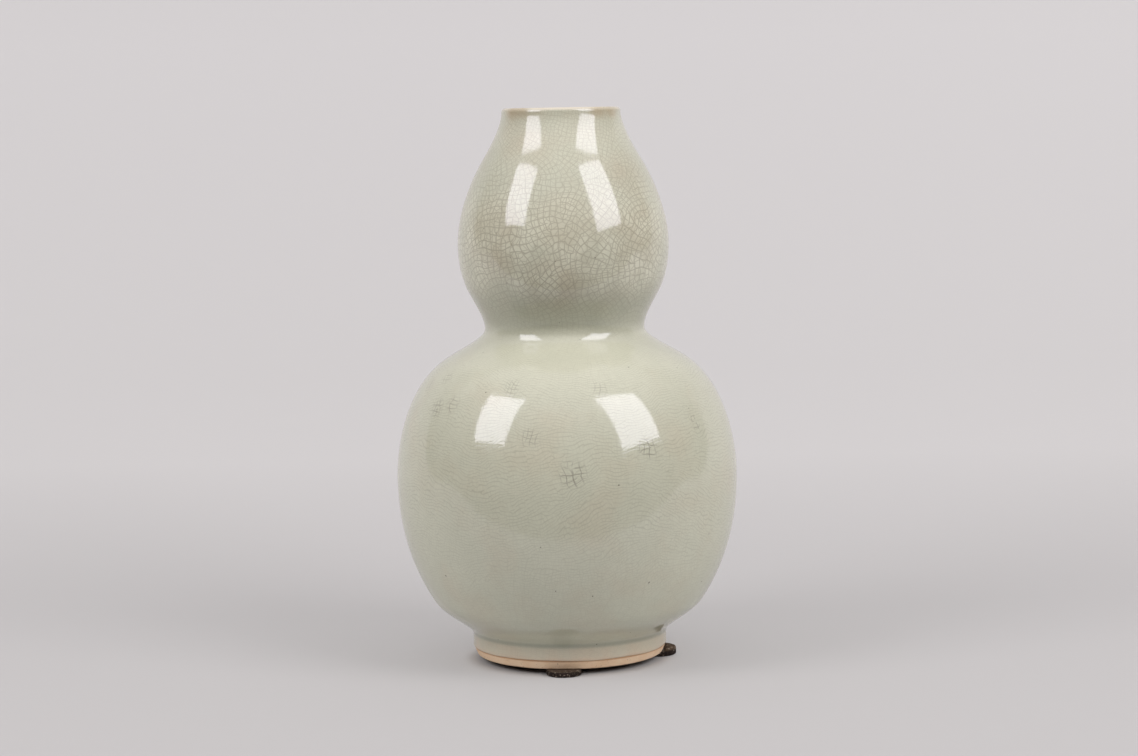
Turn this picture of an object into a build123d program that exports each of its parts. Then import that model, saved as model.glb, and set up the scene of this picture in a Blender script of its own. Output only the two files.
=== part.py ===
"""Double gourd vase: luted stoneware sections under a crackled glaze, standing on felt pads."""
import os

from build123d import *

# Felt pads stuck under the foot, their centres in from its bare edge, with the compass angle of each
pad_diameter = 19.0
pad_thickness = 2.6
pad_edge_fillet = 0.5
pad_inset = 1.7
pad_angles = {"front": -94.0, "right": 2.0, "rear": 138.0}
adhesive_thickness = 0.4
adhesive_inset = 0.4

# Foot ring, measured from its bare edge
foot_radius = 52.9
foot_height = 13.4
foot_edge_inset = 2.4
foot_edge_fillet = 0.8
foot_ring_width = 8.5
bare_height = 4.6

# Greatest and least radii of the gourd outside the glaze, each with its rise over the one below,
# the first over the foot ring's top
lower_bulb_radius = 92.7
lower_bulb_rise = 85.1
waist_radius = 43.3
waist_rise = 79.8
upper_bulb_radius = 57.3
upper_bulb_rise = 45.2
mouth_radius = 32.1
mouth_rise = 71.3

# Thicknesses of clay, slip and glaze
wall_thickness = 5.5
lip_thickness = 3.2
floor_thickness = 7.0
luting_thickness = 0.8
glaze_thickness = 0.6
inner_glaze_thickness = 0.5

# Between each two of those radii the wall passes one more point: how far out and how far up it lies,
# and how far the wall leans there, all as shares of the way from the lower radius to the upper one
middle_shares = [
    (0.54, 0.21, 1.35),
    (0.52, 0.78, 2.25),
    (0.61, 0.44, 1.68),
    (0.60, 0.66, 1.75),
]
foot_lean_share = 2.25

# Lengths of the two curve handles of each stretch of wall, as shares of its chord, from the foot up
handle_shares = [
    (0.34, 0.31),
    (0.35, 0.36),
    (0.16, 0.41),
    (0.39, 0.19),
    (0.25, 0.37),
    (0.30, 0.36),
    (0.31, 0.33),
    (0.24, 0.25),
]

# Inside, the flat floor reaches this share of the foot's radius
floor_flat_share = 0.8

# Levels above the surface that the vase stands on
foot_edge = pad_thickness + adhesive_thickness
glaze_line = foot_edge + bare_height
foot_top = Vector(foot_radius, foot_edge + foot_height)
lower_bulb = Vector(lower_bulb_radius, foot_top.Y + lower_bulb_rise)
waist = Vector(waist_radius, lower_bulb.Y + waist_rise)
upper_bulb = Vector(upper_bulb_radius, waist.Y + upper_bulb_rise)
mouth = Vector(mouth_radius, upper_bulb.Y + mouth_rise)

up = Vector(0, 1)
outward = Vector(1, 0)


def leaning(reach, lean_share):
    """Give the direction of a wall that leans by a share of the slope of its reach."""
    return Vector(reach.X * lean_share, reach.Y).normalized()


# Points of the outer surface from the foot to the mouth, each with the direction of the wall there
girths = [foot_top, lower_bulb, waist, upper_bulb, mouth]
outline = [(foot_top, leaning(lower_bulb - foot_top, foot_lean_share))]
for below, above, (radius_share, height_share, lean_share) in zip(girths, girths[1:], middle_shares):
    reach = above - below
    middle = below + Vector(reach.X * radius_share, reach.Y * height_share)
    outline.append((middle, leaning(reach, lean_share)))
    outline.append((above, up))


def surface_at(depth, lip_depth):
    """Give the outline's points sunk square to the wall, by another depth at the lip."""
    depths = [depth] * (len(outline) - 1) + [lip_depth]
    return [
        (point - Vector(way.Y, -way.X) * sunk, way)
        for (point, way), sunk in zip(outline, depths)
    ]


clay_depth = glaze_thickness + wall_thickness
clay_lip_depth = glaze_thickness + lip_thickness
glaze_face = surface_at(0, 0)
clay_face = surface_at(glaze_thickness, glaze_thickness)
hollow_face = surface_at(clay_depth, clay_lip_depth)
lining_face = surface_at(clay_depth + inner_glaze_thickness, clay_lip_depth + glaze_thickness)

# The hollow starts from its flat floor instead of from the foot
floor_bottom = clay_face[0][0].Y
floor_top = floor_bottom + floor_thickness
lining_floor = floor_top + inner_glaze_thickness
floor_flat_radius = foot_radius * floor_flat_share
hollow_face[0] = (Vector(floor_flat_radius, floor_top), outward)
lining_face[0] = (Vector(floor_flat_radius, lining_floor), outward)

foot_clay_radius = clay_face[0][0].X
foot_edge_radius = foot_radius - foot_edge_inset
foot_inner_radius = foot_edge_radius - foot_ring_width
pad_circle_radius = foot_edge_radius - pad_inset
ring_top = floor_bottom - luting_thickness
lip_top = mouth.Y + glaze_thickness + lip_thickness / 2


def draw_wall(face):
    """Draw one smooth stretch of curve between each two points of a face."""
    for (start, start_way), (end, end_way), (start_share, end_share) in zip(face, face[1:], handle_shares):
        chord = (end - start).length
        start_handle = start + start_way * (chord * start_share)
        end_handle = end - end_way * (chord * end_share)
        Bezier(start, start_handle, end_handle, end)


def draw_lip(outer_face, inner_face):
    """Draw the half round of the lip from one face over to another."""
    outer_end = outer_face[-1][0]
    inner_end = inner_face[-1][0]
    half_width = (outer_end - inner_end).length / 2
    crest = inner_end + outward * half_width + up * half_width
    ThreePointArc(outer_end, crest, inner_end)


def save(piece, name):
    """Name a finished piece and write it to its file."""
    piece.part.label = name
    export_step(piece.part, f"parts/{name}.step")


os.makedirs("parts", exist_ok=True)

# Whole clay wall with its floor, before it is parted at the seams
with BuildPart() as clay_wall:
    with BuildSketch(Plane.XZ):
        with BuildLine():
            Line((0, floor_bottom), clay_face[0][0])
            draw_wall(clay_face)
            draw_lip(clay_face, hollow_face)
            draw_wall(hollow_face)
            Line(hollow_face[0][0], (0, floor_top))
            Line((0, floor_top), (0, floor_bottom))
        make_face()
    revolve(axis=Axis.Z)

# Thrown sections, and the slip that lutes them at the two bulbs' middles and at the waist
half_luting = luting_thickness / 2
clay_levels = {
    "belly_section": (foot_edge, lower_bulb.Y - half_luting),
    "belly_luting": (lower_bulb.Y - half_luting, lower_bulb.Y + half_luting),
    "shoulder_section": (lower_bulb.Y + half_luting, waist.Y - half_luting),
    "waist_luting": (waist.Y - half_luting, waist.Y + half_luting),
    "upper_bulb_section": (waist.Y + half_luting, upper_bulb.Y - half_luting),
    "upper_bulb_luting": (upper_bulb.Y - half_luting, upper_bulb.Y + half_luting),
    "mouth_section": (upper_bulb.Y + half_luting, lip_top),
}
slab_radius = max(lower_bulb_radius, upper_bulb_radius)
for clay_name, (low_level, high_level) in clay_levels.items():
    with BuildPart() as clay_piece:
        add(clay_wall.part)
        with BuildSketch(Plane.XY.offset(low_level)):
            Circle(slab_radius)
        extrude(amount=high_level - low_level, mode=Mode.INTERSECT)
    save(clay_piece, clay_name)

# Foot ring, turned with a bare bevelled edge
with BuildPart() as foot_ring:
    with BuildSketch(Plane.XZ) as ring_section:
        with BuildLine():
            Polyline(
                (foot_inner_radius, foot_edge),
                (foot_edge_radius, foot_edge),
                (foot_clay_radius, glaze_line),
                (foot_clay_radius, ring_top),
                (foot_inner_radius, ring_top),
                close=True,
            )
        make_face()
        fillet(ring_section.vertices().group_by(Axis.Y)[0], radius=foot_edge_fillet)
    revolve(axis=Axis.Z)
save(foot_ring, "foot_ring")

# Slip between the foot ring and the floor
with BuildPart() as foot_luting:
    with BuildSketch(Plane.XY.offset(ring_top)):
        Circle(foot_clay_radius)
        Circle(foot_inner_radius, mode=Mode.SUBTRACT)
    extrude(amount=luting_thickness)
save(foot_luting, "foot_luting")

# Glaze outside, from its line on the foot over the lip
with BuildPart() as outer_glaze:
    with BuildSketch(Plane.XZ):
        with BuildLine():
            Polyline((foot_clay_radius, glaze_line), (foot_radius, glaze_line), glaze_face[0][0])
            draw_wall(glaze_face)
            draw_lip(glaze_face, lining_face)
            Line(lining_face[-1][0], hollow_face[-1][0])
            draw_lip(clay_face, hollow_face)
            draw_wall(clay_face)
            Line(clay_face[0][0], (foot_clay_radius, glaze_line))
        make_face()
    revolve(axis=Axis.Z)
save(outer_glaze, "outer_glaze")

# Glaze that lines the hollow, up to the lip
with BuildPart() as inner_glaze:
    with BuildSketch(Plane.XZ):
        with BuildLine():
            Line((0, floor_top), hollow_face[0][0])
            draw_wall(hollow_face)
            Line(hollow_face[-1][0], lining_face[-1][0])
            draw_wall(lining_face)
            Line(lining_face[0][0], (0, lining_floor))
            Line((0, lining_floor), (0, floor_top))
        make_face()
    revolve(axis=Axis.Z)
save(inner_glaze, "inner_glaze")

# Glaze under the floor, inside the foot ring
with BuildPart() as base_glaze:
    with BuildSketch(Plane.XY.offset(floor_bottom)):
        Circle(foot_inner_radius)
    extrude(amount=-glaze_thickness)
save(base_glaze, "base_glaze")

# Felt pads and the adhesive that holds each to the foot ring's edge
for pad_name, pad_angle in pad_angles.items():
    with BuildPart() as felt_pad:
        with BuildSketch():
            with PolarLocations(pad_circle_radius, 1, start_angle=pad_angle):
                Circle(pad_diameter / 2)
        extrude(amount=pad_thickness)
        fillet(felt_pad.edges().group_by(Axis.Z)[0], radius=pad_edge_fillet)
    save(felt_pad, f"{pad_name}_pad")

    with BuildPart() as pad_adhesive:
        with BuildSketch(Plane.XY.offset(pad_thickness)):
            with PolarLocations(pad_circle_radius, 1, start_angle=pad_angle):
                Circle(pad_diameter / 2 - adhesive_inset)
        extrude(amount=adhesive_thickness)
    save(pad_adhesive, f"{pad_name}_pad_adhesive")
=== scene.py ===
"""Looks of a double gourd vase: crackled celadon on luted stoneware, a bare foot and felt pads."""
import math

import bpy
from mathutils import Matrix, Vector, noise
from mathutils.geometry import interpolate_bezier


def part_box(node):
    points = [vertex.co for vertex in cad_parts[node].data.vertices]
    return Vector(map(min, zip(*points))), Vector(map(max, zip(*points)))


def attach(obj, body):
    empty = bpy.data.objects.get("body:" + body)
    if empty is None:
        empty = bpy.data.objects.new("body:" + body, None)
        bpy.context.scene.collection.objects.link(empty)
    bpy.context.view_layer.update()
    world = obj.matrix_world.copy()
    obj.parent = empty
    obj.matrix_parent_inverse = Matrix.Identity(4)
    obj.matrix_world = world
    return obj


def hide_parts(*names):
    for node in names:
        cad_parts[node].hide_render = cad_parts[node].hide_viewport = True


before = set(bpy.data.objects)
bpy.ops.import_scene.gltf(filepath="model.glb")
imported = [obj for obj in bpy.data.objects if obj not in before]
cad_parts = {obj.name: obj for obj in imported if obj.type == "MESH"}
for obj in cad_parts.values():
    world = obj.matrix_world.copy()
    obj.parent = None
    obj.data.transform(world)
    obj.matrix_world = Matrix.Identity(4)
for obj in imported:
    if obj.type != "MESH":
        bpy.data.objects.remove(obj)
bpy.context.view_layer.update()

MM = 0.001
QUARTER_TURN = math.pi / 2

# Outline of the glazed gourd in millimetres: radius and height at its foot, girths and mouth
girths = [
    Vector((52.9, 16.4)),
    Vector((92.7, 101.5)),
    Vector((43.3, 181.3)),
    Vector((57.3, 226.5)),
    Vector((32.1, 297.8)),
]
middle_shares = [(0.54, 0.21, 1.35), (0.52, 0.78, 2.25), (0.61, 0.44, 1.68), (0.60, 0.66, 1.75)]
foot_lean_share = 2.25
handle_shares = [
    (0.34, 0.31),
    (0.35, 0.36),
    (0.16, 0.41),
    (0.39, 0.19),
    (0.25, 0.37),
    (0.30, 0.36),
    (0.31, 0.33),
    (0.24, 0.25),
]
lower_girth = girths[1].x
upper_girth = girths[3].x
mouth_level = girths[4].y

# Thicknesses and levels in millimetres
glaze = 0.6
lining = 0.5
wall = 5.5
lip = 3.2
foot_edge = 3.0
glaze_line = 7.6
ring_top = 16.035
base_face = 16.235
floor_bottom = 16.835
floor_top = 23.835
floor_flat_radius = 42.32
foot_edge_radius = 50.5
foot_inner_radius = 42.0
foot_clay_radius = 52.487

# How finely the pieces are turned: steps once round, and millimetres between points up the wall
COAT_STEPS = 256
LINING_STEPS = 128
FOOT_STEPS = 192
PAD_STEPS = 96
COAT_SPACING = 1.5
COAT_BACK_SPACING = 8
LINING_SPACING = 1.6
LINING_BACK_SPACING = 7


# Modelling

def leaning(reach, lean_share):
    """Give the direction of a wall that leans by a share of the slope of its reach."""
    return Vector((reach.x * lean_share, reach.y)).normalized()


def outline():
    """Give the outline's points with the direction of the wall at each."""
    up = Vector((0, 1))
    points = [(girths[0], leaning(girths[1] - girths[0], foot_lean_share))]
    for below, above, (radius_share, height_share, lean_share) in zip(
        girths, girths[1:], middle_shares
    ):
        reach = above - below
        middle = below + Vector((reach.x * radius_share, reach.y * height_share))
        points.append((middle, leaning(reach, lean_share)))
        points.append((above, up))
    return points


def face(depth, lip_depth):
    """Give the outline sunk square to the wall, by another depth at the lip."""
    points = outline()
    depths = [depth] * (len(points) - 1) + [lip_depth]
    return [
        (point - Vector((way.y, -way.x)) * sunk, way)
        for (point, way), sunk in zip(points, depths)
    ]


def wall_points(sunk_face, spacing):
    """Give points along a face from its lower end to its upper one, about a spacing apart."""
    points = []
    for (start, start_way), (end, end_way), (start_share, end_share) in zip(
        sunk_face, sunk_face[1:], handle_shares
    ):
        chord = (end - start).length
        start_handle = start + start_way * (chord * start_share)
        end_handle = end - end_way * (chord * end_share)
        count = max(4, round(chord / spacing) + 1)
        points += interpolate_bezier(start, start_handle, end_handle, end, count)[:-1]
    return points + [sunk_face[-1][0]]


def half_round(start, end, count):
    """Give the points of the lip's half round between two ends at one level, without the ends."""
    middle = (start + end) / 2
    reach = start - middle
    rise = Vector((0, reach.length))
    turns = [math.pi * step / (count + 1) for step in range(1, count + 1)]
    return [middle + reach * math.cos(turn) + rise * math.sin(turn) for turn in turns]


def bend(start, corner, end, count):
    """Give the points of a smooth bend round a corner, with its ends."""
    pull = 0.6
    return interpolate_bezier(start, start.lerp(corner, pull), end.lerp(corner, pull), end, count)


def deselect():
    """Leave nothing selected, so that the next operator acts on the new piece alone."""
    bpy.ops.object.select_all(action="DESELECT")


def lathe(name, profile, steps):
    """Turn a closed profile of radii and heights in millimetres once round the upright axis."""
    deselect()
    bpy.ops.mesh.primitive_plane_add(size=MM)
    piece = bpy.context.object
    piece.name = name
    piece.data.name = name
    bpy.ops.object.mode_set(mode="EDIT")
    bpy.ops.mesh.select_all(action="SELECT")
    bpy.ops.mesh.merge(type="CENTER")
    bpy.ops.transform.translate(value=(profile[0].x * MM, 0, profile[0].y * MM))
    for start, end in zip(profile, profile[1:] + profile[:1]):
        step = (end - start) * MM
        bpy.ops.mesh.extrude_vertices_move(TRANSFORM_OT_translate={"value": (step.x, 0, step.y)})
    bpy.ops.mesh.select_all(action="SELECT")
    bpy.ops.mesh.remove_doubles(threshold=0.001 * MM)
    bpy.ops.mesh.spin(steps=steps, angle=math.tau, center=(0, 0, 0), axis=(0, 0, 1))
    bpy.ops.mesh.select_all(action="SELECT")
    bpy.ops.mesh.remove_doubles(threshold=0.005 * MM)
    bpy.ops.mesh.normals_make_consistent(inside=False)
    bpy.ops.object.mode_set(mode="OBJECT")
    bpy.ops.object.shade_smooth_by_angle(angle=math.radians(50))
    return piece


def reshape(piece, moved):
    """Move each point of a piece to where a rule puts it, in millimetres."""
    for vertex in piece.data.vertices:
        vertex.co = moved(vertex.co / MM) * MM
    piece.data.update()


def paint(piece, name, amount):
    """Keep an amount at each point of a piece, for its material to read."""
    layer = piece.data.attributes.new(name, "FLOAT", "POINT")
    layer.data.foreach_set("value", [amount(vertex.co / MM) for vertex in piece.data.vertices])


def ease(value, low, high):
    """Go smoothly from 0 at low to 1 at high."""
    share = min(max((value - low) / (high - low), 0), 1)
    return share * share * (3 - 2 * share)


def settle(piece, material, slot, *nodes):
    """Give a piece its material and the body it belongs to, and hide the solids it stands for."""
    piece.data.materials.clear()
    piece.data.materials.append(material)
    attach(piece, "root")
    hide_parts(*nodes)


# Materials

def linear(code):
    """Turn an sRGB hex colour into linear light."""
    shares = [int(code[place:place + 2], 16) / 255 for place in (1, 3, 5)]
    return [s / 12.92 if s <= 0.04045 else ((s + 0.055) / 1.055) ** 2.4 for s in shares] + [1.0]


# Settings that many nodes share: a product, the greater of two, a smooth step, colours laid on
TIMES = {"operation": "MULTIPLY"}
GREATER = {"operation": "MAXIMUM"}
SMOOTH = {"interpolation_type": "SMOOTHSTEP"}
LAID = {"data_type": "RGBA"}


def add(tree, kind, inputs=(), out=0, **settings):
    """Add a node with its settings, fill or link its inputs by place or name, give one output."""
    node = tree.nodes.new("ShaderNode" + kind)
    for key, value in settings.items():
        setattr(node, key, value)
    for key, value in inputs.items() if isinstance(inputs, dict) else enumerate(inputs):
        if isinstance(value, bpy.types.NodeSocket):
            tree.links.new(value, node.inputs[key])
        else:
            node.inputs[key].default_value = value
    return node.outputs[out] if node.outputs else None


def material_tree(name):
    """Start an empty material and give it with its tree and its place on the piece."""
    material = bpy.data.materials.new(name)
    material.use_nodes = True
    tree = material.node_tree
    tree.nodes.clear()
    place = add(tree, "TexCoord", out="Object")
    return material, tree, place


def per_mm(size):
    """Give the scale at which a pattern repeats about once in a size in millimetres."""
    return 1 / (size * MM)


def unrolled(tree, place):
    """Give the place on the glaze in radians round and up, as a map that keeps angles, shaken
    a little. Its seam wanders up the back."""
    across = add(tree, "SeparateXYZ", [place])
    front = add(tree, "Math", [across.node.outputs["Y"], -1.0], **TIMES)
    around = add(tree, "Math", [across, front], operation="ARCTAN2")
    climb = add(tree, "Attribute", out="Fac", attribute_name="climb")
    flat = add(tree, "CombineXYZ", [around, climb])
    shake = add(tree, "TexNoise", {"Vector": place, "Scale": per_mm(16), "Detail": 1.0}, "Color")
    flat = add(tree, "VectorMath", [shake, (0.1, 0.1, 0.0), flat], operation="MULTIPLY_ADD")
    across = add(tree, "SeparateXYZ", [flat])
    around = add(tree, "Math", [across, math.pi, -math.pi], operation="WRAP")
    return add(tree, "CombineXYZ", [around, across.node.outputs["Y"]])


def crazing(tree, sheet, turn, girth, spacing, line, run):
    """Give cracks that follow one way over the glaze, so many millimetres apart and wide at a
    girth: they waver, branch and end, the sooner the shorter their run, but keep their spacing."""
    phase = add(
        tree, "TexGabor",
        {
            "Vector": sheet, "Scale": girth / (spacing * run), "Frequency": run,
            "Anisotropy": 0.9, 4: turn,
        },
        "Phase", gabor_type="2D",
    )
    off = add(tree, "Math", [phase, 0.5], operation="SUBTRACT")
    off = add(tree, "Math", [off], operation="ABSOLUTE")
    return add(tree, "MapRange", [off, 0.0, line / spacing, 1.0, 0.0], **SMOOTH)


def celadon_glaze():
    """Celadon, dipped and fired until it crazed: a wet gloss over pale grey green, a net of fine
    cracks that use has browned on the upper bulb, and tan clouds where the clay shows through.
    Real cracks are finer than a tenth of a millimetre, so they are drawn about four times as wide
    to show."""
    material, tree, place = material_tree("crackled_celadon_glaze")
    height = add(tree, "SeparateXYZ", [place], "Z")
    stain, warm, rim, crest, pool_and_painted_dark, thin = (
        add(tree, "Attribute", out="Fac", attribute_name=name)
        for name in ("stain", "warm", "rim", "crest", "pool_and_painted_dark", "thin")
    )
    sheet = unrolled(tree, place)
    sway, patchy, broken, cloud, skin = (
        add(tree, "TexNoise", {"Vector": place, "Scale": per_mm(size), "Detail": detail})
        for size, detail in ((58, 0.0), (13, 2.0), (6, 1.0), (30, 4.0), (7, 1.0))
    )

    # Net of the upper bulb: long cracks that cross, and short ones that part the cells between them
    CELL = 3.5
    CRACK = 0.42
    CRACK_RUN = 3.2
    turn = add(tree, "MapRange", [sway, 0.25, 0.75, -1.4, 1.4], **SMOOTH)
    cross_turn = add(tree, "Math", [turn, QUARTER_TURN])
    first, second = (
        crazing(tree, sheet, way, upper_girth, CELL, CRACK, CRACK_RUN) for way in (turn, cross_turn)
    )
    cells = add(
        tree, "TexVoronoi", {"Vector": sheet, "Scale": upper_girth / CELL},
        feature="DISTANCE_TO_EDGE", voronoi_dimensions="2D",
    )
    cells = add(tree, "MapRange", [cells, 0.0, CRACK / CELL, 0.65, 0.0], **SMOOTH)
    net = add(tree, "Math", [first, second], **GREATER)
    net = add(tree, "Math", [net, cells], **GREATER)
    kept = add(tree, "MapRange", [patchy, 0.36, 0.62, 0.72, 1.0], **SMOOTH)
    up_from_waist = add(tree, "MapRange", [height, 172 * MM, 216 * MM, 0.15, 1.0], **SMOOTH)
    down_from_lip = add(tree, "MapRange", [height, 236 * MM, 288 * MM, 1.0, 0.7], **SMOOTH)
    tanned = add(tree, "MapRange", [warm, 0.0, 0.22, 0.85, 1.05])
    browned = net
    for share in (kept, tanned, up_from_waist, down_from_lip):
        browned = add(tree, "Math", [browned, share], **TIMES)

    # Fine ripples of the lower bulb, level round the belly and crossed lower down
    RIPPLE = 1.8
    RIPPLE_LINE = 0.4
    RIPPLE_RUN = 2.2
    SWAY = 0.45
    level_turn = add(
        tree, "MapRange", [sway, 0.25, 0.75, QUARTER_TURN - SWAY, QUARTER_TURN + SWAY], **SMOOTH
    )
    upright_turn = add(tree, "Math", [level_turn, QUARTER_TURN])
    level, upright = (
        crazing(tree, sheet, way, lower_girth, RIPPLE, RIPPLE_LINE, RIPPLE_RUN)
        for way in (level_turn, upright_turn)
    )
    crossed = add(tree, "MapRange", [height, 45 * MM, 105 * MM, 0.7, 0.35], **SMOOTH)
    upright = add(tree, "Math", [upright, crossed], **TIMES)
    ripples = add(tree, "Math", [level, upright], **GREATER)
    for value, low, high, start, end in (
        (broken, 0.36, 0.56, 0.6, 1.0),
        (height, 160 * MM, 200 * MM, 1.0, 0.3),
        (height, 30 * MM, 95 * MM, 0.4, 1.0),
    ):
        share = add(tree, "MapRange", [value, low, high, start, end], **SMOOTH)
        ripples = add(tree, "Math", [ripples, share], **TIMES)

    # Marks where a few cracks have taken in dirt
    MARK = 3.0
    MARK_LINE = 0.4
    MARK_RUN = 3.0
    level_mark, upright_mark = (
        crazing(tree, sheet, way, lower_girth, MARK, MARK_LINE, MARK_RUN)
        for way in (level_turn, upright_turn)
    )
    marks = add(tree, "Math", [level_mark, upright_mark], **GREATER)
    gaps = add(tree, "MapRange", [broken, 0.3, 0.42, 0.1, 1.0], **SMOOTH)
    for share in (gaps, stain):
        marks = add(tree, "Math", [marks, share], **TIMES)

    # Pinholes, one to a patch and not in every patch
    PATCH = 34
    HOLE = 0.3
    holes = add(
        tree, "TexVoronoi", {"Vector": sheet, "Scale": lower_girth / PATCH}, "Distance",
        feature="F1", voronoi_dimensions="2D",
    )
    chosen = add(tree, "SeparateColor", [holes.node.outputs["Color"]])
    chosen = add(tree, "MapRange", [chosen, 0.5, 0.55, 0.0, 1.0], **SMOOTH)
    holes = add(tree, "MapRange", [holes, HOLE / PATCH, 2 * HOLE / PATCH, 0.7, 0.0], **SMOOTH)
    holes = add(tree, "Math", [holes, chosen], **TIMES)

    # Tan clouds: faint ones all over, and patches between the browned cracks
    cloud = add(tree, "MapRange", [cloud, 0.42, 0.7, 0.0, 0.2], **SMOOTH)
    blush = add(tree, "Math", [cloud, warm])
    patches = add(tree, "MapRange", [patchy, 0.36, 0.66, 0.25, 0.75], **SMOOTH)
    below_neck = add(tree, "MapRange", [height, 228 * MM, 272 * MM, 1.0, 0.12], **SMOOTH)
    under_lip = add(tree, "MapRange", [height, 270 * MM, 292 * MM, 0.0, 0.45], **SMOOTH)
    pale_bands = add(tree, "Math", [below_neck, under_lip], **GREATER)
    for share in (up_from_waist, pale_bands):
        patches = add(tree, "Math", [patches, share], **TIMES)
    mottle = add(tree, "MapRange", [patchy, 0.3, 0.7, 0.6, 1.3])
    thin = add(tree, "Math", [thin, mottle], **TIMES)

    colour = linear("#D4D6C1")
    for amount, strength, code in (
        (blush, 1.0, "#CDB99D"),
        (patches, 1.0, "#EFEFDA"),
        (thin, 1.0, "#DBC5AA"),
        (ripples, 0.23, "#77765F"),
        (browned, 0.45, "#685934"),
        (marks, 0.55, "#62544C"),
        # Pooled glaze in the corner over the foot, darkened further as painted shade at some levels and
        # as a painted reflection of the front pad
        (pool_and_painted_dark, 1.0, "#767A64"),
        (rim, 1.0, "#BD9F76"),
        # The pale crest is partly thin glaze over the clay and partly a painted highlight
        (crest, 1.0, "#E6DDCA"),
        (holes, 1.0, "#55503F"),
    ):
        share = add(tree, "Math", [amount, strength], **TIMES)
        colour = add(tree, "Mix", {0: share, 6: colour, 7: linear(code)}, 2, **LAID)

    sunk = add(tree, "Math", [browned, 0.3], **TIMES)
    sunk = add(tree, "Math", [ripples, 0.55, sunk], operation="MULTIPLY_ADD")
    relief = add(tree, "Math", [skin, sunk], operation="SUBTRACT")
    bump = add(tree, "Bump", {"Height": relief, "Distance": 0.02 * MM, "Strength": 1.0})
    shader = add(
        tree, "BsdfPrincipled",
        {
            "Base Color": colour, "Roughness": 0.04, "IOR": 1.66, "Specular Tint": linear("#F1F4FF"),
            "Normal": bump,
        },
    )
    add(tree, "OutputMaterial", {"Surface": shader})
    return material


def plain_glaze():
    """The same celadon poured over the inside and brushed under the foot: glossy, paler and hardly
    cracked."""
    material, tree, place = material_tree("poured_celadon_lining")
    cloud = add(tree, "TexNoise", {"Vector": place, "Scale": per_mm(30), "Detail": 4.0})
    colour = add(tree, "Mix", {0: cloud, 6: linear("#CCCCB8"), 7: linear("#BDBA9F")}, 2, **LAID)
    edge = add(tree, "TexVoronoi", {"Vector": place, "Scale": per_mm(7)}, feature="DISTANCE_TO_EDGE")
    crack = add(tree, "MapRange", [edge, 0.0, 0.05, 0.25, 0.0], **SMOOTH)
    colour = add(tree, "Mix", {0: crack, 6: colour, 7: linear("#85775C")}, 2, **LAID)
    shader = add(tree, "BsdfPrincipled", {"Base Color": colour, "Roughness": 0.1, "IOR": 1.55})
    add(tree, "OutputMaterial", {"Surface": shader})
    return material


def stoneware():
    """Stoneware, turned on the wheel and fired bare: dull peach clay with dark grit, flashed brown by
    the fire in a thin line along the glaze, and darkened as painted shade at the edge it stands on."""
    material, tree, place = material_tree("turned_fired_stoneware")
    height = add(tree, "SeparateXYZ", [place], "Z")
    cloud = add(tree, "TexNoise", {"Vector": place, "Scale": per_mm(10), "Detail": 5.0})
    cloud = add(tree, "MapRange", [cloud, 0.35, 0.7, 0.0, 1.0], **SMOOTH)
    flash = add(tree, "MapRange", [height, 6.9 * MM, 7.7 * MM, 0.0, 0.75], **SMOOTH)
    grit = add(tree, "TexNoise", {"Vector": place, "Scale": per_mm(0.8), "Detail": 2.0})
    specks = add(tree, "MapRange", [grit, 0.62, 0.74, 0.0, 0.45], **SMOOTH)
    # Painted shade: the lowest half millimetre of the foot is darkened, so that the gap under it stays
    # dark
    standing_edge_shade = add(tree, "MapRange", [height, 3.05 * MM, 3.5 * MM, 0.8, 0.0], **SMOOTH)
    colour = linear("#FFE2C0")
    for amount, code in (
        (cloud, "#F8D6B0"), (flash, "#B27C50"), (specks, "#8A6A4C"), (standing_edge_shade, "#5E4C3B")
    ):
        colour = add(tree, "Mix", {0: amount, 6: colour, 7: linear(code)}, 2, **LAID)
    bump = add(tree, "Bump", {"Height": grit, "Distance": 0.12 * MM, "Strength": 0.6})
    shader = add(tree, "BsdfPrincipled", {"Base Color": colour, "Roughness": 0.82, "Normal": bump})
    add(tree, "OutputMaterial", {"Surface": shader})
    return material


def luting_slip():
    """Luting slip, fired: the clay's colour, paler and finer grained."""
    material, tree, place = material_tree("fired_luting_slip")
    grain = add(tree, "TexNoise", {"Vector": place, "Scale": per_mm(1.2), "Detail": 3.0})
    colour = add(tree, "Mix", {0: grain, 6: linear("#D9CAB6"), 7: linear("#C6B29A")}, 2, **LAID)
    shader = add(tree, "BsdfPrincipled", {"Base Color": colour, "Roughness": 0.85})
    add(tree, "OutputMaterial", {"Surface": shader})
    return material


def wool_felt():
    """Wool felt, pressed and punched: near black, matted fibres flecked with dust, drawn lighter and
    browner towards the top. The fibres are finer than the eye parts, so they are drawn as tufts."""
    material, tree, place = material_tree("pressed_wool_felt")
    height = add(tree, "SeparateXYZ", [place], "Z")
    matted = add(tree, "TexNoise", {"Vector": place, "Scale": per_mm(0.8), "Detail": 4.0})
    lint = add(
        tree, "TexNoise",
        {"Vector": place, "Scale": per_mm(1.3), "Detail": 2.0, "Roughness": 0.6},
    )
    tufts = add(tree, "MapRange", [matted, 0.35, 0.7, 0.0, 1.0], **SMOOTH)
    # The felt is drawn lighter and browner towards its top
    lighter_higher = add(tree, "MapRange", [height, 2.4 * MM, 3.8 * MM, 0.0, 0.68], **SMOOTH)
    dust = add(tree, "MapRange", [lint, 0.57, 0.68, 0.0, 0.7], **SMOOTH)
    colour = linear("#1B1513")
    for amount, code in ((tufts, "#3B302A"), (lighter_higher, "#6A5A4A"), (dust, "#B5A695")):
        colour = add(tree, "Mix", {0: amount, 6: colour, 7: linear(code)}, 2, **LAID)
    bump = add(tree, "Bump", {"Height": matted, "Distance": 0.5 * MM, "Strength": 0.9})
    shader = add(
        tree, "BsdfPrincipled",
        {"Base Color": colour, "Roughness": 0.95, "Specular IOR Level": 0.2, "Normal": bump},
    )
    add(tree, "OutputMaterial", {"Surface": shader})
    return material


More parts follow.
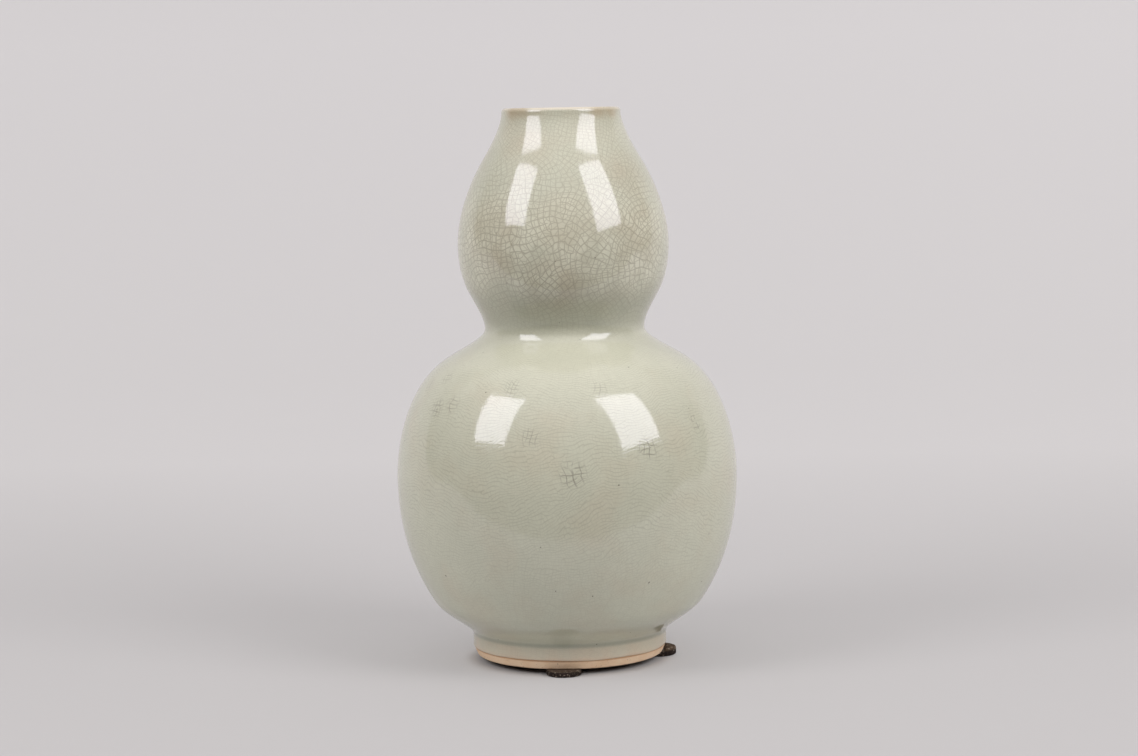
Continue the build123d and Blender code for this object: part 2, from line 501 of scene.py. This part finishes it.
def pad_adhesive():
    """Acrylic pad adhesive, rolled thin: a dull amber film, mottled dark with dirt."""
    material, tree, place = material_tree("rolled_acrylic_adhesive")
    dirt = add(tree, "TexNoise", {"Vector": place, "Scale": per_mm(1.5), "Detail": 4.0})
    colour = add(tree, "Mix", {0: dirt, 6: linear("#3A3028"), 7: linear("#5B4E40")}, 2, **LAID)
    shader = add(tree, "BsdfPrincipled", {"Base Color": colour, "Roughness": 0.6})
    add(tree, "OutputMaterial", {"Surface": shader})
    return material


def backdrop_paper():
    """Seamless backdrop paper, rolled and matt: an even grey, with painted light that makes it paler
    where it curves up and hangs than on the table.
    A share of its grey is its own to the eye and in reflections, except under the foot, so that the
    wide shadows on it stay soft and the near one stays dark. From behind the eye sees through it."""
    material, tree, place = material_tree("matt_backdrop_paper")
    height = add(tree, "SeparateXYZ", [place], "Z")
    lighter_higher = add(tree, "MapRange", [height, 0.0, 0.05, 0.0, 1.0])
    aloft = add(tree, "MapRange", [height, 0.1, 0.36, 0.0, 1.0])
    lit, seen = linear("#BDBDBD"), linear("#CDC9C9")
    # Painted light: the grey is drawn paler where the paper rises from the table and paler again higher
    # up, standing in for the light its curve catches
    for amount, lit_code, seen_code in (
        (lighter_higher, "#CDCDCD", "#D5D1D1"), (aloft, "#DADADA", "#D7D3D4")
    ):
        lit = add(tree, "Mix", {0: amount, 6: lit, 7: linear(lit_code)}, 2, **LAID)
        seen = add(tree, "Mix", {0: amount, 6: seen, 7: linear(seen_code)}, 2, **LAID)
    straight, mirrored, through = (
        add(tree, "LightPath", out=f"Is {kind} Ray") for kind in ("Camera", "Glossy", "Transmission")
    )
    ray = add(tree, "Math", [straight, mirrored])
    ray = add(tree, "Math", [ray, through])
    away = add(tree, "VectorMath", [place], "Value", operation="LENGTH")
    open_floor = add(tree, "MapRange", [away, 50 * MM, 60 * MM, 0.0, 0.4], **SMOOTH)
    share = add(tree, "Math", [ray, open_floor], **TIMES)
    matt = add(tree, "BsdfPrincipled", {"Base Color": lit, "Roughness": 0.9})
    plain = add(tree, "Emission", {"Color": seen, "Strength": 1.0})
    shader = add(tree, "MixShader", [share, matt, plain])
    behind = add(tree, "NewGeometry", out="Backfacing")
    behind = add(tree, "Math", [behind, straight], **TIMES)
    clear = add(tree, "BsdfTransparent")
    shader = add(tree, "MixShader", [behind, shader, clear])
    add(tree, "OutputMaterial", {"Surface": shader})
    return material


# Faces of the wall from the outside in

outward = Vector((1, 0))
glaze_face = face(0, 0)
clay_face = face(glaze, glaze)
hollow_face = face(glaze + wall, glaze + lip)
lining_face = face(glaze + wall + lining, glaze + lip + glaze)
lining_floor = floor_top + lining
hollow_face[0] = (Vector((floor_flat_radius, floor_top)), outward)
lining_face[0] = (Vector((floor_flat_radius, lining_floor)), outward)

# Glaze outside: a rolled bead at its line on the foot, a pooled corner, the wall and the lip
POOL_REACH = 2.6
corner = girths[0]
outer_wall = [
    point for point in wall_points(glaze_face, COAT_SPACING)
    if (point - corner).length > POOL_REACH
]
bead = [
    Vector((foot_clay_radius, glaze_line)),
    Vector((52.72, 7.63)),
    Vector((52.90, 7.80)),
    Vector((52.97, 8.15)),
    Vector((52.97, 8.70)),
    Vector((52.93, 9.60)),
    Vector((52.90, 10.80)),
    Vector((52.90, 12.20)),
]
pooled_corner = bend(Vector((corner.x, corner.y - POOL_REACH)), corner, outer_wall[0], 9)[:-1]
outside = bead + pooled_corner + outer_wall + half_round(glaze_face[-1][0], lining_face[-1][0], 11)
inside = (
    [lining_face[-1][0], hollow_face[-1][0]]
    + half_round(hollow_face[-1][0], clay_face[-1][0], 5)
    + wall_points(clay_face, COAT_BACK_SPACING)[::-1]
)
coat = lathe("glaze_coat", outside + inside, COAT_STEPS)


def angle_of(spot):
    """Give the compass angle of a spot in degrees, 0 at the front and growing to the right."""
    return math.degrees(math.atan2(spot.x, -spot.y))


# Where the luted waist is rounder at the front than at its sides: level, reach and how far out
waist_rounding = [(180.2, 5.1, 0.6), (174.9, 4.05, -0.4)]
WAIST_MIDDLE = 177.5


def waist_front(spot):
    """Give how far out the front of the waist stands over its sides."""
    front = 1 - ease(abs(angle_of(spot)), 38, 80)
    return front * sum(
        out * (1 + math.cos(math.pi * min(abs(spot.z - level) / reach, 1))) / 2
        for level, reach, out in waist_rounding
    )


def as_fired(spot):
    """Let the coat lie as it set: a hair's unevenness inwards except at the waist, and a glaze line
    that rises and falls."""
    if spot.z < glaze_line - 0.1 or spot.z > mouth_level + 0.5:
        return spot
    out = Vector((spot.x, spot.y, 0)).normalized()
    sunk = 0.1 - noise.noise(spot / 46) * 0.08 - noise.noise(spot / 19) * 0.02
    sunk *= (
        ease(spot.z, 16, 40) * ease(mouth_level - spot.z, 0, 14)
        * ease(abs(spot.z - WAIST_MIDDLE), 4, 14)
    )
    rise = 0.35 + 0.35 * noise.noise(Vector((spot.x, spot.y, 7)) / 24)
    rise *= 1 - ease(spot.z, glaze_line, 13)
    return spot + out * (waist_front(spot) - sunk) + Vector((0, 0, rise))


reshape(coat, as_fired)

# How far up the unrolled glaze each height lies, in radians
climbs = [(outside[0].y, 0.0)]
for start, end in zip(outside, outside[1:]):
    if end.y > climbs[-1][0]:
        climbs.append((end.y, climbs[-1][1] + (end - start).length / ((start.x + end.x) / 2)))


def climb(spot):
    """Give how far up the unrolled glaze a spot lies."""
    height = min(max(spot.z, climbs[0][0]), climbs[-1][0])
    low, high = 0, len(climbs) - 1
    while high - low > 1:
        middle = (low + high) // 2
        low, high = (middle, high) if climbs[middle][0] <= height else (low, middle)
    (under, start), (over, end) = climbs[low], climbs[high]
    return start + (end - start) * (height - under) / (over - under)


# Spots where dirt has darkened the cracks: compass angle, height, reach and depth
dark_spots = [
    (-21.6, 155.8, 4.2, 0.7),
    (-12.3, 131.5, 5.0, 0.8),
    (1.9, 112.8, 7.0, 1.0),
    (27.8, 124.5, 5.5, 1.0),
    (50.9, 134.6, 4.5, 0.8),
    (13.5, 155.4, 4.0, 0.5),
    (-54.6, 143.6, 4.8, 0.9),
    (-46.6, 146.0, 4.4, 0.8),
    (-69.7, 153.6, 3.5, 0.6),
    (-59.0, 158.3, 3.5, 0.5),
    (141.0, 138.0, 5.0, 0.8),
    (-152.0, 120.0, 6.0, 0.9),
    (98.0, 150.0, 4.0, 0.6),
    (68.0, 20.0, 4.5, 1.0),
]
# Tan clouds of the upper bulb, given the same way
tan_clouds = [
    (-42.0, 233.0, 22.0, 0.24),
    (-2.0, 240.0, 17.0, 0.18),
    (-8.0, 208.0, 16.0, 0.26),
    (47.0, 231.0, 20.0, 0.2),
    (48.0, 264.0, 15.0, 0.16),
    (-40.0, 290.0, 14.0, 0.1),
    (34.0, 290.0, 15.0, 0.08),
    (110.0, 240.0, 30.0, 0.25),
    (-120.0, 225.0, 28.0, 0.28),
    (175.0, 250.0, 26.0, 0.25),
]


def near(spot, angle, height, reach):
    """Give 1 in the middle of a round patch on the wall and 0 outside its reach."""
    turn = math.radians((angle_of(spot) - angle + 180) % 360 - 180)
    away = math.hypot(turn * math.hypot(spot.x, spot.y), spot.z - height)
    return 1 - ease(away, 0.5 * reach, 1.3 * reach)


def darkest(spots):
    """Make a rule that gives how deep in the deepest of some patches a spot lies."""
    return lambda spot: max(
        near(spot, angle, height, reach) * depth for angle, height, reach, depth in spots
    )


# Tan blotches on the lip: compass angle, height, reach and depth
lip_blotches = [
    (-48.0, mouth_level, 9.0, 1.0),
    (50.0, mouth_level, 11.0, 0.9),
    (124.0, mouth_level, 12.0, 0.8),
    (-146.0, mouth_level, 10.0, 0.9),
]
lip_blotch = darkest(lip_blotches)
cloud_depth = darkest(tan_clouds)


def rim_brown(spot):
    """Brown the glaze under the lip, most in its blotches."""
    blotch = 0.05 + 0.38 * lip_blotch(spot) + 0.25 * noise.noise(spot / 7)
    return min(max(blotch, 0.03), 0.7) * ease(spot.z, mouth_level - 6, mouth_level)


def crest_pale(spot):
    """Pale the crest of the lip, partly where the thin glaze lets the pale clay show and partly as a
    painted highlight.
    """
    kept = 1 - 0.9 * lip_blotch(spot)
    return 0.7 * kept * ease(spot.z, mouth_level + 0.5, mouth_level + 1.5)


def tan_cloud(spot):
    """Give the depth of the tan clouds, less than none on the shoulder, where the glaze stayed green."""
    shoulder = ease(spot.z, 150, 166) * (1 - ease(spot.z, 180, 196))
    return cloud_depth(spot) - 0.16 * shoulder


# Levels where the glaze is darkened as painted shade, most under the upper bulb and round the waist:
# from where the shade deepens to where it thins again, and how deep
shade_levels = [
    (10.0, 17.0, 40.0, 66.0, 0.025),
    (130.0, 166.0, 172.0, 182.0, 0.045),
    (178.0, 187.0, 193.0, 212.0, 0.22),
    (250.0, 263.0, 272.0, 284.0, 0.05),
]
# Painted reflection of the front pad, a faint dark spot over the front of the foot: compass angle,
# height and reach
pad_reflection_spot = (-4.0, 20.5, 6.0)


def pool_shade_and_reflection(spot):
    """Deepen the green where the glaze pooled in the corner over the foot, add a faint painted
    reflection of the front pad just above it, and paint shade faintly at a few levels.
    """
    away = math.hypot(math.hypot(spot.x, spot.y) - corner.x, spot.z - corner.y)
    # The spot above the front pad is a painted reflection of the pad; the corner's pooled glaze is real
    in_corner = 0.36 * (1 - ease(away, 0.5, 2.4)) + 0.1 * near(spot, *pad_reflection_spot)
    return in_corner + sum(
        depth * ease(spot.z, start, full) * (1 - ease(spot.z, fading, end))
        for start, full, fading, end, depth in shade_levels
    )


def thin_on_foot(spot):
    """Let the clay show through the thin glaze of the foot, the more the lower."""
    return 0.45 * (1 - ease(spot.z, 13.5, 16.5)) + 0.35 * (1 - ease(spot.z, 8.0, 10.5))


paint(coat, "climb", climb)
paint(coat, "stain", darkest(dark_spots))
paint(coat, "warm", tan_cloud)
paint(coat, "rim", rim_brown)
paint(coat, "crest", crest_pale)
paint(coat, "pool_and_painted_dark", pool_shade_and_reflection)
paint(coat, "thin", thin_on_foot)
settle(coat, celadon_glaze(), "celadon_glaze", "outer_glaze")

# Glaze that lines the hollow
RIDGE_SPACING = 8.0
RIDGE_HEIGHT = 0.3
FLOOR_RING = 20


def throwing_ridge(point):
    """Give how far a finger's ridge stands out at a height, none at the floor or the lip."""
    ridge = (1 + math.sin(point.y / RIDGE_SPACING * math.tau)) / 2
    return RIDGE_HEIGHT * ridge * ease(point.y, 30, 45) * ease(mouth_level - point.y, 3, 15)


ridged_lining = [
    point - outward * throwing_ridge(point) for point in wall_points(lining_face, LINING_SPACING)
]
lining_profile = (
    [Vector((0, lining_floor)), Vector((FLOOR_RING, lining_floor))]
    + ridged_lining + wall_points(hollow_face, LINING_BACK_SPACING)[::-1]
    + [Vector((FLOOR_RING, floor_top)), Vector((0, floor_top))]
)
lining_coat = lathe("glaze_lining", lining_profile, LINING_STEPS)
poured = plain_glaze()
settle(lining_coat, poured, "lining_glaze", "inner_glaze")

# Foot ring with its bare bevelled edge
ROUNDING = 0.8
RING_MIDDLE = 10
BEVEL_STEPS = 8
inner_edge = Vector((foot_inner_radius, foot_edge))
outer_edge = Vector((foot_edge_radius, foot_edge))
bevel_end = Vector((foot_clay_radius, glaze_line))
bevel_start = outer_edge + (bevel_end - outer_edge).normalized() * ROUNDING
foot_profile = (
    [Vector((foot_inner_radius, ring_top)), Vector((foot_inner_radius, RING_MIDDLE))]
    + bend(inner_edge + Vector((0, ROUNDING)), inner_edge, inner_edge + outward * ROUNDING, 5)
    + [(inner_edge + outer_edge) / 2]
    + bend(outer_edge - outward * ROUNDING, outer_edge, bevel_start, 5)
    + [bevel_start.lerp(bevel_end, step / BEVEL_STEPS) for step in range(1, BEVEL_STEPS + 1)]
    + [Vector((foot_clay_radius, RING_MIDDLE)), Vector((foot_clay_radius, ring_top))]
)
biscuit = lathe("biscuit_foot", foot_profile, FOOT_STEPS)
bare_clay = stoneware()
settle(biscuit, bare_clay, "stoneware", "foot_ring")

# Glaze under the floor, drawn down the ring a little
base_profile = [
    Vector((0, floor_bottom)),
    Vector((foot_inner_radius, floor_bottom)),
    Vector((foot_inner_radius, 15.4)),
    Vector((41.7, 15.9)),
    Vector((41.0, 16.16)),
    Vector((39.5, base_face)),
    Vector((0, base_face)),
]
base = lathe("base_coat", base_profile, LINING_STEPS)
settle(base, poured, "celadon_glaze", "base_glaze")

# Felt pads, pressed flat under the foot and swollen outside it, and their adhesive
pad_swells = {"front": 0.5, "right": 1.9, "rear": 1.4}
PAD_ROUNDING = 1.0
FILM_ROUNDING = 0.1


def swollen(spot, swell):
    """Let the felt rise where the foot doesn't press it, with a ragged cut edge."""
    reach = math.hypot(spot.x, spot.y)
    lift = swell * ease(reach, foot_edge_radius + 0.3, foot_edge_radius + 3.2)
    lift *= ease(spot.z, 0.6, 2.6)
    rag = noise.noise_vector(spot / 1.6) * 0.12 + noise.noise_vector(spot / 0.6) * 0.06
    rag.z *= ease(spot.z, 0.0, 0.5)
    return spot + Vector((0, 0, lift)) + rag


def disc_profile(radius, tall, rounding):
    """Give the profile of a disc with rounded edges, from its lower middle to its upper one."""
    rings = [radius * share / 8 for share in range(0, 8)]
    low_edge = bend(
        Vector((radius - rounding, 0)), Vector((radius, 0)), Vector((radius, rounding)), 4
    )
    high_edge = [Vector((edge.x, tall - edge.y)) for edge in reversed(low_edge)]
    straight = tall - 2 * rounding
    middle = [Vector((radius, rounding + straight * share / 4)) for share in (1, 2, 3)]
    return (
        [Vector((ring, 0)) for ring in rings] + low_edge + middle + high_edge
        + [Vector((ring, tall)) for ring in reversed(rings)]
    )


def disc(name, node, rounding):
    """Model a disc where a solid of that shape is."""
    low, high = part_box(node)
    size = (high - low) / MM
    piece = lathe(name, disc_profile(size.x / 2, size.z, rounding), PAD_STEPS)
    bpy.ops.transform.translate(value=((low.x + high.x) / 2, (low.y + high.y) / 2, low.z))
    bpy.ops.object.transform_apply(location=True, rotation=True, scale=True)
    return piece


felt = wool_felt()
adhesive = pad_adhesive()
for side, swell in pad_swells.items():
    pad = disc(f"{side}_felt_pad", f"{side}_pad", PAD_ROUNDING)
    reshape(pad, lambda spot: swollen(spot, swell))
    settle(pad, felt, "felt", f"{side}_pad")
    film = disc(f"{side}_adhesive_film", f"{side}_pad_adhesive", FILM_ROUNDING)
    settle(film, adhesive, "adhesive", f"{side}_pad_adhesive")

# Clay and slip between the coats
for material, nodes in (
    (bare_clay, ("mouth_section", "upper_bulb_section", "shoulder_section", "belly_section")),
    (luting_slip(), ("upper_bulb_luting", "waist_luting", "belly_luting", "foot_luting")),
):
    for node in nodes:
        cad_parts[node].data.materials.clear()
        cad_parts[node].data.materials.append(material)


# Stage, in metres

def pick(piece, chosen):
    """Select the points that a rule chooses, in edit mode."""
    bpy.ops.mesh.select_all(action="DESELECT")
    bpy.ops.object.mode_set(mode="OBJECT")
    for vertex in piece.data.vertices:
        vertex.select = chosen(vertex.co)
    bpy.ops.object.mode_set(mode="EDIT")


SWEEP_WIDTH = 4.6
SWEEP_FRONT = -0.25
SWEEP_BACK = 0.15
COVE = 0.95
SWEEP_TOP = 2.4
deselect()
bpy.ops.mesh.primitive_plane_add(size=1)
sweep = bpy.context.object
sweep.name = "sweep"
bpy.ops.object.mode_set(mode="EDIT")
bpy.ops.transform.resize(value=(SWEEP_WIDTH, SWEEP_BACK - SWEEP_FRONT, 1))
bpy.ops.transform.translate(value=(0, (SWEEP_BACK + SWEEP_FRONT) / 2, 0))
pick(sweep, lambda spot: spot.y > SWEEP_BACK - 0.01)
bpy.ops.mesh.spin(steps=24, angle=-QUARTER_TURN, center=(0, SWEEP_BACK, COVE), axis=(1, 0, 0))
bpy.ops.mesh.extrude_region_move(TRANSFORM_OT_translate={"value": (0, 0, SWEEP_TOP - COVE)})
bpy.ops.mesh.select_all(action="SELECT")
bpy.ops.mesh.remove_doubles(threshold=MM)
bpy.ops.mesh.normals_make_consistent(inside=True)
bpy.ops.object.mode_set(mode="OBJECT")
bpy.ops.object.shade_smooth()
sweep.data.materials.append(backdrop_paper())


LAMP_COLOUR = "#FFFAFB"


def softbox(name, place, size, facing, turn, power):
    """Hang a softbox that faces the vase, given the compass angle and rise of its back."""
    azimuth, rise = (math.radians(angle) for angle in facing)
    back = Vector((
        math.sin(azimuth) * math.cos(rise), -math.cos(azimuth) * math.cos(rise), math.sin(rise)
    ))
    side = Vector((math.cos(azimuth), math.sin(azimuth), 0))
    lamp = bpy.data.lights.new(name, "AREA")
    lamp.shape = "RECTANGLE"
    lamp.size, lamp.size_y = size
    lamp.energy = power
    lamp.color = linear(LAMP_COLOUR)[:3]
    box = bpy.data.objects.new(name, lamp)
    bpy.context.scene.collection.objects.link(box)
    axes = Matrix((side, back.cross(side), back)).transposed().to_4x4()
    turned = Matrix.Rotation(math.radians(turn), 4, "Z")
    box.matrix_world = Matrix.Translation(place) @ axes @ turned


softbox(
    "left_softbox", place=(-1.323, -0.818, 1.240), size=(0.841, 1.170), facing=(-47.8, 41.2),
    turn=1.8, power=15.8,
)
softbox(
    "right_softbox", place=(1.228, -0.869, 1.294), size=(1.043, 1.330), facing=(27.4, 23.3),
    turn=12.0, power=22.0,
)

# A room that is dark round the table and a little brighter overhead
world = bpy.data.worlds.new("dim_room")
world.use_nodes = True
sky = world.node_tree
sky.nodes.clear()
aloft = add(sky, "SeparateXYZ", [add(sky, "TexCoord", out="Generated")], "Z")
brightness = add(sky, "MapRange", [aloft, 0.1, 1.0, 0.03, 0.85], **SMOOTH)
glow = add(sky, "Background", {"Color": linear(LAMP_COLOUR), "Strength": brightness})
add(sky, "OutputWorld", {"Surface": glow})
bpy.context.scene.world = world
bpy.context.scene.view_settings.view_transform = "Standard"

# Camera: its place in metres, its sensor and lens in millimetres, its tip and lean in degrees
EYE_PLACE = (0.0019, -1.4321, 0.299)
SENSOR = 36
LENS = 83.7
EYE_DOWN = 5.804
EYE_LEAN = -0.993
camera = bpy.data.cameras.new("camera")
camera.sensor_width = SENSOR
camera.lens = LENS
eye = bpy.data.objects.new("camera", camera)
bpy.context.scene.collection.objects.link(eye)
down, lean = math.radians(EYE_DOWN), math.radians(EYE_LEAN)
look = Matrix.Rotation(QUARTER_TURN - down, 4, "X") @ Matrix.Rotation(lean, 4, "Z")
eye.matrix_world = Matrix.Translation(EYE_PLACE) @ look
bpy.context.scene.camera = eye
